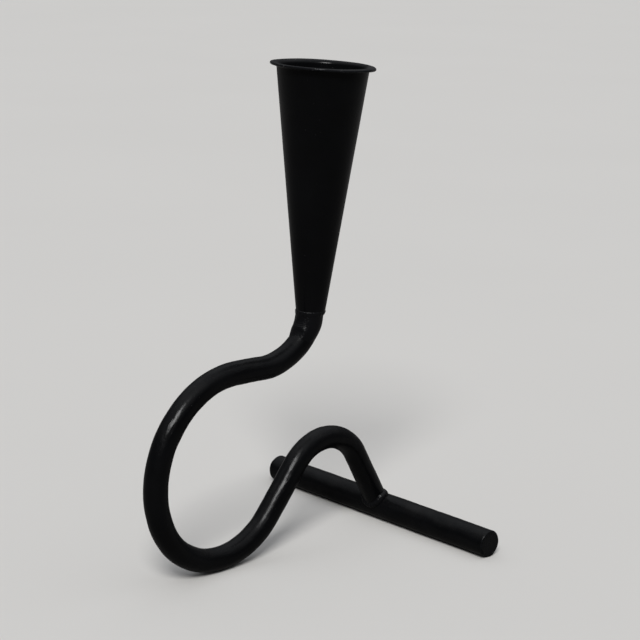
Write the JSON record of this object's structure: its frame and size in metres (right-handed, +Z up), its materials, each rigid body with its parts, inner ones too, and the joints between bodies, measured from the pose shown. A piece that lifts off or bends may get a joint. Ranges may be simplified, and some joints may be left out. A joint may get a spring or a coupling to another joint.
{
  "type": "candlestick",
  "caption": "Bent-rod candlestick: a tapered sheet cup with a turned-out lip stands on a rod curled in an upright plane, whose far end is welded onto a round crossbar foot.",
  "frame": {"origin": "on the ground, at the middle of the footprint between the curl's back and the foot bar's far side", "axes": "+Z up; +X in the plane of the bent rod, from the curl's back towards the foot bar; +Y along the foot bar"},
  "size_m": [0.1134, 0.105, 0.1658],
  "materials": {
    "black_lacquer": "satin black lacquer on steel",
    "lacquered_weld": "satin black lacquer over a weld bead"
  },
  "bodies": {
    "root": {"candle_cup": "black_lacquer", "stem_rod": "black_lacquer", "foot_bar": "black_lacquer", "neck_weld": "lacquered_weld", "foot_weld": "lacquered_weld"}
  },
  "joints": []
}
